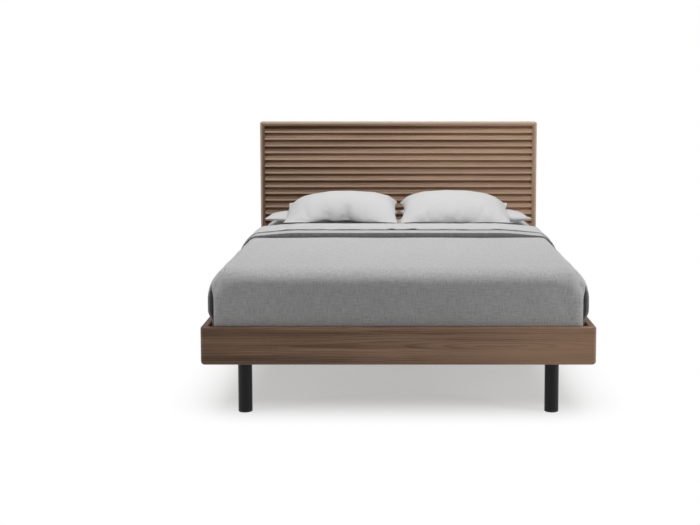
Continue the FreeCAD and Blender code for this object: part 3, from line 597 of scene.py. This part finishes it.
def draped_band(name, path, outward, lengths, profile, material, closed):
    """A band over the bed: each point of a profile, (along the bed, off the path), at each step.

    profile(step share, x) returns the profile's points for one place on the path.
    """
    rows = []
    flat_rows = []
    for (x, z), (nx, nz), length in zip(path, outward, lengths):
        shape = profile(x, length)
        rows.append([(x + nx * off, y, z + nz * off) for y, off in shape])
        run = np.concatenate([[0.0], np.cumsum(np.linalg.norm(np.diff(shape, axis=0), axis=1))])
        flat_rows.append([(length, along) for along in run])
    columns = len(rows[0])
    points = [point for row in rows for point in row]
    places = [place for row in flat_rows for place in row]
    faces = grid_faces(len(rows), columns)
    if closed:
        faces.append(tuple(range(columns)))
        last = (len(rows) - 1) * columns
        faces.append(tuple(reversed(range(last, last + columns))))
        for row in range(len(rows) - 1):
            start = row * columns
            faces.append((start + columns - 1, start, start + columns, start + 2 * columns - 1))
    flat = [places[index] for face in faces for index in face]
    return mesh_piece(name, points, faces, flat, material)


CUFF_FRONT = BED_FRONT + 1.060


def cuff_path():
    """The way over the duvet's own surface, from one side's hem to the other's."""
    path = over_the_bed(170, DUVET_HALF, DUVET_TOP, 0.455, SIDE_ROUND, TOP_ROUND)
    path[:, 0] += np.sign(path[:, 0]) * swell(path[:, 1])
    return measured(path)


def cuff_thickness(x):
    """The folded-back end is full in the middle and thins towards the bed's sides."""
    share = 1.0 - smooth_step(0.50, 0.79, abs(x))
    return 0.0065 + (CUFF_RISE - 0.0075) * share


def duvet_cuff(material, nose_shade):
    """The duvet's folded-back end, a thick soft layer whose front nose is painted with dark linen as
    painted shade.
    """
    path, outward, lengths = cuff_path()

    def profile(x, length):
        thick = cuff_thickness(x)
        share = 1.0 - smooth_step(0.50, 0.79, abs(x))
        front = CUFF_FRONT + 0.003 * math.sin(length * 9.0) - 0.010 * (1.0 - share)
        nose = []
        for turn in np.linspace(math.pi / 2, -math.pi / 2, 13):
            bend, rise = math.cos(turn), math.sin(turn)
            flat_bend = abs(bend) ** 0.45
            flat_rise = math.copysign(abs(rise) ** 0.75, rise)
            nose.append((front + 0.009 * (1.0 - flat_bend) + 0.004 * (1.0 - rise) / 2,
                         thick / 2 * (1.0 + flat_rise) + 0.0004))
        under = [(y, 0.0004) for y in np.linspace(front + 0.03, DUVET_HEAD - 0.004, 7)]
        top = [(y, thick + 0.0004) for y in np.linspace(front + 0.022, DUVET_HEAD - 0.010, 16)]
        back = [(DUVET_HEAD - 0.004, thick - 0.004)]
        return np.array(nose + under + back + top[::-1])

    piece = draped_band("duvet_cuff", path, outward, lengths, profile, material, closed=True)
    piece.data.materials.append(nose_shade)
    columns = len(profile(0.0, 0.0))
    # Painted shade: the front nose of the cuff takes the dark linen, standing in for the shade under its
    # overhang.
    for number, face in enumerate(piece.data.polygons):
        if number < (len(path) - 1) * (columns - 1) and 1 <= number % (columns - 1) <= 11:
            face.material_index = 1
    apply_modifier(piece, "SUBSURF", levels=1, render_levels=1)
    return piece


def turned_down_sheet(material):
    """The top sheet's end, turned down over the duvet's cuff and dropping behind it."""
    path, outward, lengths = cuff_path()
    front_edge = TURN_DOWN[0][1] + 0.012
    edge_wave = ripple(17, lengths[:, None], (0.13, 0.21, 0.34, 0.55))
    lift_wave = ripple(23, lengths[:, None], (0.09, 0.15, 0.27))
    waves = {length: (a, b) for length, a, b in zip(lengths, edge_wave, lift_wave)}
    settled = FITTED[1][2] + 0.0015
    fold = 0.0022

    def profile(x, length):
        sway, lift = waves[length]
        flat_share = 1.0 - smooth_step(0.62, 0.74, abs(x))
        dip = bell(x + 0.035, 0.016) + bell(x - 0.078, 0.020)
        raised = 0.0030 + (0.0016 + 0.0016 * lift) * flat_share + 0.004 * dip
        start = front_edge + 0.005 * sway + 0.006 * dip
        nose = [(start + fold * (1.0 - math.cos(a)), raised - fold * math.sin(a))
                for a in np.linspace(math.pi / 2, -math.pi / 2, 7)]
        under = [(start + 0.040, 0.0012), (start + 0.014, raised * 0.35)]
        span = np.linspace(start + 0.012, DUVET_HEAD - 0.012, 22)
        calm = smooth_step(start, start + 0.06, span)
        bow = 0.0014 * np.sin(span * 34.0 + 3.0 * sway) * lift
        body = [(y, (1 - c) * (raised + fold) + c * 0.0034 + b * c) for y, c, b in zip(span, calm, bow)]
        under_it = cuff_thickness(x) + 0.0006
        drop = (DUVET_TOP + under_it - settled) * flat_share + 0.012 * (1.0 - flat_share)
        back = [(DUVET_HEAD - 0.003, 0.0015), (DUVET_HEAD + 0.003, -0.006),
                (DUVET_HEAD + 0.007, -drop * 0.6), (DUVET_HEAD + 0.016, -drop + 0.001),
                (DUVET_HEAD + 0.045, -drop)]
        return np.array(under + nose + body + back) + np.array([0.0, under_it])

    piece = draped_band("turned_down_sheet_cloth", path, outward, lengths, profile, material, closed=False)
    apply_modifier(piece, "SOLIDIFY", thickness=0.0009, offset=0.0)
    return piece


# --- fitted sheet and mattress ------------------------------------------------------------

def cap_mesh(name, low, high, corner, edge, material):
    """A cap over a block: its top and four sides, with rounded corners and top edge."""
    step, wrinkle = 0.03, 0.0002
    xs = spaced(low[0], high[0], step, 0.12, 0.012)
    ys = spaced(low[1], high[1], step, 0.12, 0.012)
    zs = spaced(low[2], high[2], 0.014, 0.06, 0.008, ends=(False, True))
    points, faces, flat, known = [], [], [], {}

    def vertex(place):
        key = tuple(round(part, 6) for part in place)
        if key not in known:
            known[key] = len(points)
            points.append(place)
        return known[key]

    def panel(place, unfold, firsts, seconds, turned):
        for a, b in zip(firsts, firsts[1:]):
            for c, d in zip(seconds, seconds[1:]):
                corners = [(a, c), (b, c), (b, d), (a, d)]
                if turned:
                    corners.reverse()
                faces.append([vertex(place(*pair)) for pair in corners])
                flat.extend(unfold(*pair) for pair in corners)

    top = high[2]
    panel(lambda x, y: (x, y, top), lambda x, y: (x, y), xs, ys, False)
    for side, edge_y in ((-1, low[1]), (1, high[1])):
        panel(lambda x, z: (x, edge_y, z), lambda x, z: (x, edge_y + side * (top - z)), xs, zs, side > 0)
    for side, edge_x in ((-1, low[0]), (1, high[0])):
        panel(lambda y, z: (edge_x, y, z), lambda y, z: (edge_x + side * (top - z), y), ys, zs, side < 0)

    sharp = np.array(points)
    radius = np.array([corner, corner, edge])
    inner_low = np.array([low[0] + corner, low[1] + corner, -9.0])
    inner_high = np.array([high[0] - corner, high[1] - corner, top - edge])
    core = np.clip(sharp, inner_low, inner_high)
    away = (sharp - core) / radius
    length = np.linalg.norm(away, axis=1, keepdims=True)
    reach = np.abs(away).max(axis=1, keepdims=True)
    soft = core + away * np.where(length > 1e-9, reach / np.maximum(length, 1e-9), 0.0) * radius
    normal = np.where(length > 1e-9, away / np.maximum(length, 1e-9), 0.0)
    wave = ripple(31, soft, (0.11, 0.17, 0.29, 0.43)) - 1.0
    soft = soft + normal * wave[:, None] * wrinkle
    return mesh_piece(name, soft, faces, flat, material)


def fitted_sheet(material):
    """The bottom sheet, stretched over the mattress."""
    inset = 0.0002
    low = (FITTED[0][0] + inset, FITTED[0][1] + inset, FITTED[0][2])
    high = (FITTED[1][0] - inset, FITTED[1][1] - inset, FITTED[1][2])
    return cap_mesh("fitted_sheet_cloth", low, high, 0.071, 0.051, material)


def mattress(material):
    """The mattress: a plain block with rounded edges and a closed underside."""
    low, high = MATTRESS
    inset = 0.0022
    block_low = (low[0] + inset, low[1] + inset, low[2])
    block_high = (high[0] - inset, high[1] - inset, high[2] - inset)
    piece = cap_mesh("mattress_block", block_low, block_high, 0.068, 0.048, material)
    activate(piece)
    bpy.ops.object.mode_set(mode="EDIT")
    bpy.ops.mesh.select_all(action="DESELECT")
    bpy.ops.mesh.select_non_manifold()
    bpy.ops.mesh.edge_face_add()
    bpy.ops.object.mode_set(mode="OBJECT")
    return piece


# --- pillows ---------------------------------------------------------------------------------

PILLOW_LONG = 0.70
PILLOW_SHORT = 0.47


def blank_pillow(columns, rows):
    """Two layers of cloth sewn round their edge, barely apart."""
    xs = np.linspace(-PILLOW_LONG / 2, PILLOW_LONG / 2, columns)
    ys = np.linspace(-PILLOW_SHORT / 2, PILLOW_SHORT / 2, rows)
    points, index = [], {}
    for layer in (-1, 1):
        for r, y in enumerate(ys):
            for c, x in enumerate(xs):
                seam = r in (0, rows - 1) or c in (0, columns - 1)
                key = (0 if seam else layer, r, c)
                if key not in index:
                    index[key] = len(points)
                    points.append((x, y, 0.0 if seam else layer * 0.004))
    faces, flat = [], []
    for layer in (-1, 1):
        for r in range(rows - 1):
            for c in range(columns - 1):
                corners = [(r, c), (r, c + 1), (r + 1, c + 1), (r + 1, c)]
                if layer < 0:
                    corners.reverse()
                face = []
                for cr, cc in corners:
                    seam = cr in (0, rows - 1) or cc in (0, columns - 1)
                    face.append(index[(0 if seam else layer, cr, cc)])
                    flat.append((xs[cc], ys[cr] + (layer + 1) * PILLOW_SHORT))
                faces.append(face)
    return points, faces, flat


def inflated_pillow(seed, columns, rows, material):
    """A pillow filled by a cloth simulation: puckered along its seams, slack in the middle."""
    points, faces, flat = blank_pillow(columns, rows)
    chance = np.random.default_rng(seed)
    sway = 0.0012 * chance.normal(size=len(points))
    points = [(x, y, z + w if z else 0.0) for (x, y, z), w in zip(points, sway)]
    piece = mesh_piece("pillow_blank", points, faces, flat, material)
    activate(piece)
    cloth = piece.modifiers.new("filling", "CLOTH")
    settings = cloth.settings
    settings.quality = 6
    settings.mass = 0.25
    settings.tension_stiffness = 20.0
    settings.compression_stiffness = 20.0
    settings.shear_stiffness = 12.0
    settings.bending_stiffness = 0.35
    settings.tension_damping = 12.0
    settings.compression_damping = 12.0
    settings.use_pressure = True
    settings.uniform_pressure_force = 5.5
    settings.effector_weights.gravity = 0.0
    cloth.point_cache.frame_start = 1
    cloth.point_cache.frame_end = 30
    for number in range(1, 31):
        bpy.context.scene.frame_set(number)
    bpy.ops.object.modifier_apply(modifier=cloth.name)
    bpy.context.scene.frame_set(1)
    apply_modifier(piece, "SMOOTH", factor=0.5, iterations=11)
    return piece


def placed_pillow(name, source, place_points):
    """A pillow from an inflated one, its points moved to where it lies."""
    piece = source.copy()
    piece.data = source.data.copy()
    piece.name = name
    piece.data.name = name
    bpy.context.scene.collection.objects.link(piece)
    count = len(piece.data.vertices)
    points = np.empty(count * 3)
    piece.data.vertices.foreach_get("co", points)
    points = place_points(points.reshape(count, 3))
    piece.data.vertices.foreach_set("co", points.ravel())
    piece.data.update()
    apply_modifier(piece, "SUBSURF", levels=1, render_levels=1)
    return piece


def unit_shape(points):
    """A pillow's points scaled to run from -1 to 1 each way."""
    low, high = points.min(axis=0), points.max(axis=0)
    return (points - (low + high) / 2) / ((high - low) / 2)


def settle(height, floor, softness=0.010):
    """Press heights that would go under a floor flat against it, smoothly."""
    return floor + softness * np.logaddexp(0.0, (height - floor) / softness) - softness * 0.1


def crowned(points, share, crown):
    """Raise or lower each part so that its highest line follows a crown of (share, height)."""
    marks = np.linspace(-1.0, 1.0, 25)
    tops = np.array([points[np.abs(share - mark) < 0.09, 2].max() for mark in marks])
    wanted = np.interp(marks, crown[:, 0], crown[:, 1])
    change = np.interp(share, marks, wanted - tops)
    low, high = points[:, 2].min(), points[:, 2].max()
    lift = smooth_step(low, high, points[:, 2])
    points[:, 2] += change * lift
    return points


def lower_pillow(name, source, side):
    """A pillow flat on the mattress, its thin outer corners curling up a little."""
    low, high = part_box(name)
    rest = FITTED[1][2] + 0.001
    middle = ((low[0] + high[0]) / 2, (low[1] + high[1]) / 2)
    half = ((high[0] - low[0]) / 2 + 0.010, (high[1] - low[1]) / 2 + 0.004)

    def place(points):
        unit = unit_shape(points)
        outward = unit[:, 0] * side
        x = middle[0] + unit[:, 0] * half[0]
        y = middle[1] + unit[:, 1] * half[1]
        slack = 1.0 - 0.45 * smooth_step(0.3, 1.0, outward)
        rear = smooth_step(-0.2, 1.0, unit[:, 1]) * smooth_step(0.2, 1.0, outward)
        x = x - side * 0.045 * rear
        seam = 0.040 + 0.012 * smooth_step(0.5, 1.0, outward) - 0.038 * rear
        z = rest + seam + unit[:, 2] * 0.064 * slack
        return np.column_stack([x, y, settle(z, rest, 0.004)])

    return placed_pillow(f"{name}_soft", source, place)


# The highest line of an upper pillow, from its inner end to its outer end.
CROWN = np.array([
    (-1.00, 0.725), (-0.92, 0.755), (-0.82, 0.776), (-0.56, 0.797), (-0.17, 0.806), (0.25, 0.803),
    (0.55, 0.791), (0.75, 0.768), (0.90, 0.733), (1.00, 0.690),
])
# Soft creases in the upper pillows' fronts: where across the bed, how wide, how slanted, how deep.
CREASES = {
    -1: [(-0.294, 0.010, -0.05, 0.001), (-0.387, 0.011, 0.22, 0.001), (-0.500, 0.014, 0.45, 0.004),
         (-0.185, 0.010, -0.12, 0.004)],
    1: [(0.150, 0.010, 0.15, 0.004), (0.232, 0.009, -0.10, 0.006), (0.325, 0.011, -0.25, 0.006),
        (0.452, 0.012, -0.40, 0.006), (0.520, 0.012, -0.55, 0.004)],
}


def upper_pillow(name, source, side):
    """A plump pillow that leans back on the lower one, its front edge on the turned-down sheet."""
    low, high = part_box(name)
    middle = ((low[0] + high[0]) / 2, (low[1] + high[1]) / 2)
    half = ((high[0] - low[0]) / 2 + 0.012, (high[1] - low[1]) / 2 + 0.002)
    sheet_top = TURN_DOWN[1][2]
    lean = math.tan(math.radians(10.0))

    def place(points):
        unit = unit_shape(points)
        outward = unit[:, 0] * side
        x = middle[0] + unit[:, 0] * half[0]
        y = middle[1] + unit[:, 1] * half[1]
        front = smooth_step(0.1, -1.0, unit[:, 1])
        base = sheet_top + 0.046 + (y - low[1]) * lean
        droop = 0.020 * smooth_step(0.1, 1.0, outward) + 0.010 * smooth_step(0.6, 1.0, -outward)
        plump = 0.070 + 0.010 * front
        z = base - droop - 0.052 * front + unit[:, 2] * plump
        placed = crowned(np.column_stack([x, y, z]), outward, CROWN)
        x, y, z = placed.T
        behind = sheet_top - 0.010 + (y - DUVET_HEAD) * lean
        support = np.where(y < DUVET_HEAD + 0.03, sheet_top + 0.001, behind)
        z = settle(z, support, 0.004)
        facing = smooth_step(0.2, -0.6, unit[:, 1]) * smooth_step(0.66, 0.69, z)
        facing = facing * (1.0 - smooth_step(0.72, 0.765, z))
        for at, width, slant, depth in CREASES[side]:
            line = x - at + slant * (z - 0.70)
            y = y + facing * depth * bell(line, width)
            z = z - facing * 0.3 * depth * bell(line, width)
        return np.column_stack([x, y, z])

    return placed_pillow(f"{name}_soft", source, place)


# --- the camera and the light -----------------------------------------------------------------

def camera():
    """The view from the foot of the bed, a little above the pillows."""
    data = bpy.data.cameras.new("camera")
    data.lens = 58.836
    data.sensor_width = 36.0
    data.shift_x = -0.0692
    data.shift_y = -0.1051
    data.clip_end = 100.0
    piece = bpy.data.objects.new("camera", data)
    piece.location = (0.0, BED_FRONT - 4.6196, 1.3684)
    piece.rotation_euler = (math.radians(90.0 - 5.0), 0.0, 0.0)
    bpy.context.scene.collection.objects.link(piece)
    bpy.context.scene.camera = piece


def soft_box(name, place, aim, size, watts, colour=(1.0, 1.0, 1.0)):
    data = bpy.data.lights.new(name, "AREA")
    data.shape = "RECTANGLE"
    data.size, data.size_y = size
    data.energy = watts
    data.color = colour
    piece = bpy.data.objects.new(name, data)
    piece.location = place
    piece.rotation_euler = (Vector(aim) - Vector(place)).to_track_quat("-Z", "Y").to_euler()
    bpy.context.scene.collection.objects.link(piece)


WORLD_FILL = 0.235  # the surround's strength as light on the bed
FLOOR_LIFT = 0.42  # how much of the floor is plain white under the bed
FLOOR_FADE = 0.46  # metres out from the shaded floor to plain white
SHADED_FLOOR = (0.60, 0.70)  # half its width and length


def room():
    """A pale floor, a white surround and large soft lamps."""
    activate_none()
    bpy.ops.mesh.primitive_plane_add(size=80.0, location=(0.0, 0.0, 0.0))
    floor = bpy.context.object
    floor.name = "floor"
    finish = Finish("pale_floor")
    seen = finish.node("ShaderNodeLightPath", output="Is Camera Ray")
    mirrored = finish.node("ShaderNodeLightPath", output="Is Glossy Ray")
    x, y, z = finish.place()
    beside = x.maths("MAXIMUM", x.size() - SHADED_FLOOR[0], 0.0)
    beyond = y.maths("MAXIMUM", y.size() - SHADED_FLOOR[1], 0.0)
    reach = (beside * beside + beyond * beyond).root()
    direct = seen.maths("MAXIMUM", seen, mirrored)
    colour = finish.mix(direct, (0.42, 0.42, 0.42), (1.0, 1.0, 1.0))
    cloth = finish.node("ShaderNodeBsdfDiffuse", None, {"Color": colour})
    glow = finish.node("ShaderNodeEmission", None, {"Color": (1.0, 1.0, 1.0, 1.0)})
    share = reach.ramp(0.0, FLOOR_FADE, FLOOR_LIFT, 1.0) * direct
    finish.node_output(finish.node("ShaderNodeMixShader", None, {0: share, 1: cloth, 2: glow}))
    floor.data.materials.append(finish.material)

    world = bpy.context.scene.world or bpy.data.worlds.new("world")
    bpy.context.scene.world = world
    sky = Finish("sky", world)
    seen = sky.node("ShaderNodeLightPath", output="Is Camera Ray")
    through = sky.node("ShaderNodeLightPath", output="Is Transmission Ray")
    strength = seen.maths("MAXIMUM", seen, through).ramp(0.0, 1.0, WORLD_FILL, 1.0)
    white = {"Color": (1.0, 1.0, 1.0, 1.0), "Strength": strength}
    sky.node_output(sky.node("ShaderNodeBackground", None, white), "ShaderNodeOutputWorld")

    soft_box("overhead", (0.0, 0.35, 3.4), (0.0, 0.1, 0.0), (3.4, 3.0), 105.0)
    soft_box("left_strip", (-4.2, -1.6, 1.3), (0.0, -0.9, 0.5), (0.6, 2.0), 16.0)
    soft_box("right_strip", (4.2, -1.9, 1.3), (0.0, -0.9, 0.5), (0.6, 2.0), 26.0)


def low_lamps():
    """Small lamps beside the foot of the bed, low enough to edge the legs with light."""
    soft_box("left_low", (-2.5, -1.9, 0.5), (-0.7, -0.95, 0.35), (0.4, 0.9), 7.0)
    soft_box("right_low", (2.5, -1.9, 0.5), (0.7, -0.95, 0.35), (0.4, 0.9), 12.5)


def activate_none():
    bpy.ops.object.select_all(action="DESELECT")
    bpy.context.view_layer.objects.active = None


# --- putting it together -------------------------------------------------------------------------

def paint(material, *names):
    """Assign the material to every slot of each node."""
    for name in names:
        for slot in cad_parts[name].material_slots:
            slot.material = material


def paint_frame():
    """Give each node that stays its finish."""
    rails_by_length = walnut("walnut_side_rails", "y", lean=0.12)
    # The louvers carry a painted highlight on each nose; the uprights and the top rail carry one along
    # their outer edges.
    louvers = walnut("walnut_louvers", "x", boards=("z", LOUVER_PITCH, LOUVER[1][2]))
    upright = walnut("walnut_uprights", "z", edge_highlight=("x", STILE[1][0] - 0.018, STILE[1][0] - 0.001))
    figured = walnut("walnut_foot_rail", "x", figure=(0.42, 0.315))
    plain = walnut("walnut_cross_rails", "x")
    top_rail = walnut("walnut_top_rail", "x", edge_highlight=("z", STILE[1][2] - 0.018, STILE[1][2] - 0.002))
    paint(figured, "foot_rail")
    paint(rails_by_length, "left_side_rail", "right_side_rail")
    paint(upright, "headboard_left_stile", "headboard_right_stile")
    paint(top_rail, "headboard_top_rail")
    paint(plain, "headboard_bottom_rail", "headboard_back_panel")
    paint(louvers, *[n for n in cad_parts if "louver" in n])
    timber = pale_timber()
    paint(timber, "slats", "left_ledger", "right_ledger", "center_beam", "foot_leg_beam", "head_leg_beam")
    paint(webbing(), "slat_webbing")
    steel, zinc, plastic = powder_coat(), zinc_plate(), black_plastic()
    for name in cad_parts:
        if name.endswith("_leg") or name.endswith("bracket") or name.endswith("hanger"):
            paint(steel, name)
        elif name.endswith("bolts") or name.endswith("screws"):
            paint(zinc, name)
        elif name.endswith("glide") or name.endswith("leveling_foot"):
            paint(plastic, name)


def make_bedding():
    grey = linen("grey_linen", (0.56, 0.56, 0.56), (0.40, 0.40, 0.40))
    white = cotton("white_percale", (0.53, 0.53, 0.53))
    case = cotton("pillowcase_cotton", (0.555, 0.555, 0.555), creased=0.35)
    ticking = cotton("mattress_ticking", (0.66, 0.655, 0.63), creased=0.2, ribbed=True)

    # Painted shade: a dark linen put on the cuff's front nose and inside the folded foot corners, standing
    # in for the shade there.
    painted_shade = linen("dark_linen_painted_shade", (0.28, 0.28, 0.28), (0.18, 0.18, 0.18))
    main = duvet_sheet(grey, painted_shade)
    cuff = duvet_cuff(grey, painted_shade)
    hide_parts("duvet")
    for piece in (main, cuff):
        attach(piece, BEDDING)

    turned = turned_down_sheet(white)
    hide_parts("turned_down_sheet")
    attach(turned, BEDDING)

    fitted = fitted_sheet(white)
    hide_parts("fitted_sheet")
    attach(fitted, BEDDING)

    block = mattress(ticking)
    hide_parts("mattress")
    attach(block, BEDDING)

    for side, word, seed, columns, rows in ((-1, "left", 41, 58, 40), (1, "right", 67, 52, 36)):
        filled = inflated_pillow(seed, columns, rows, case)
        for maker, level in ((lower_pillow, "lower"), (upper_pillow, "upper")):
            node = f"{word}_{level}_pillow"
            pillow = maker(node, filled, side)
            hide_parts(node)
            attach(pillow, node)
        bpy.data.objects.remove(filled)


camera()
room()
low_lamps()
paint_frame()
make_bedding()
bpy.context.scene.view_settings.view_transform = "Standard"
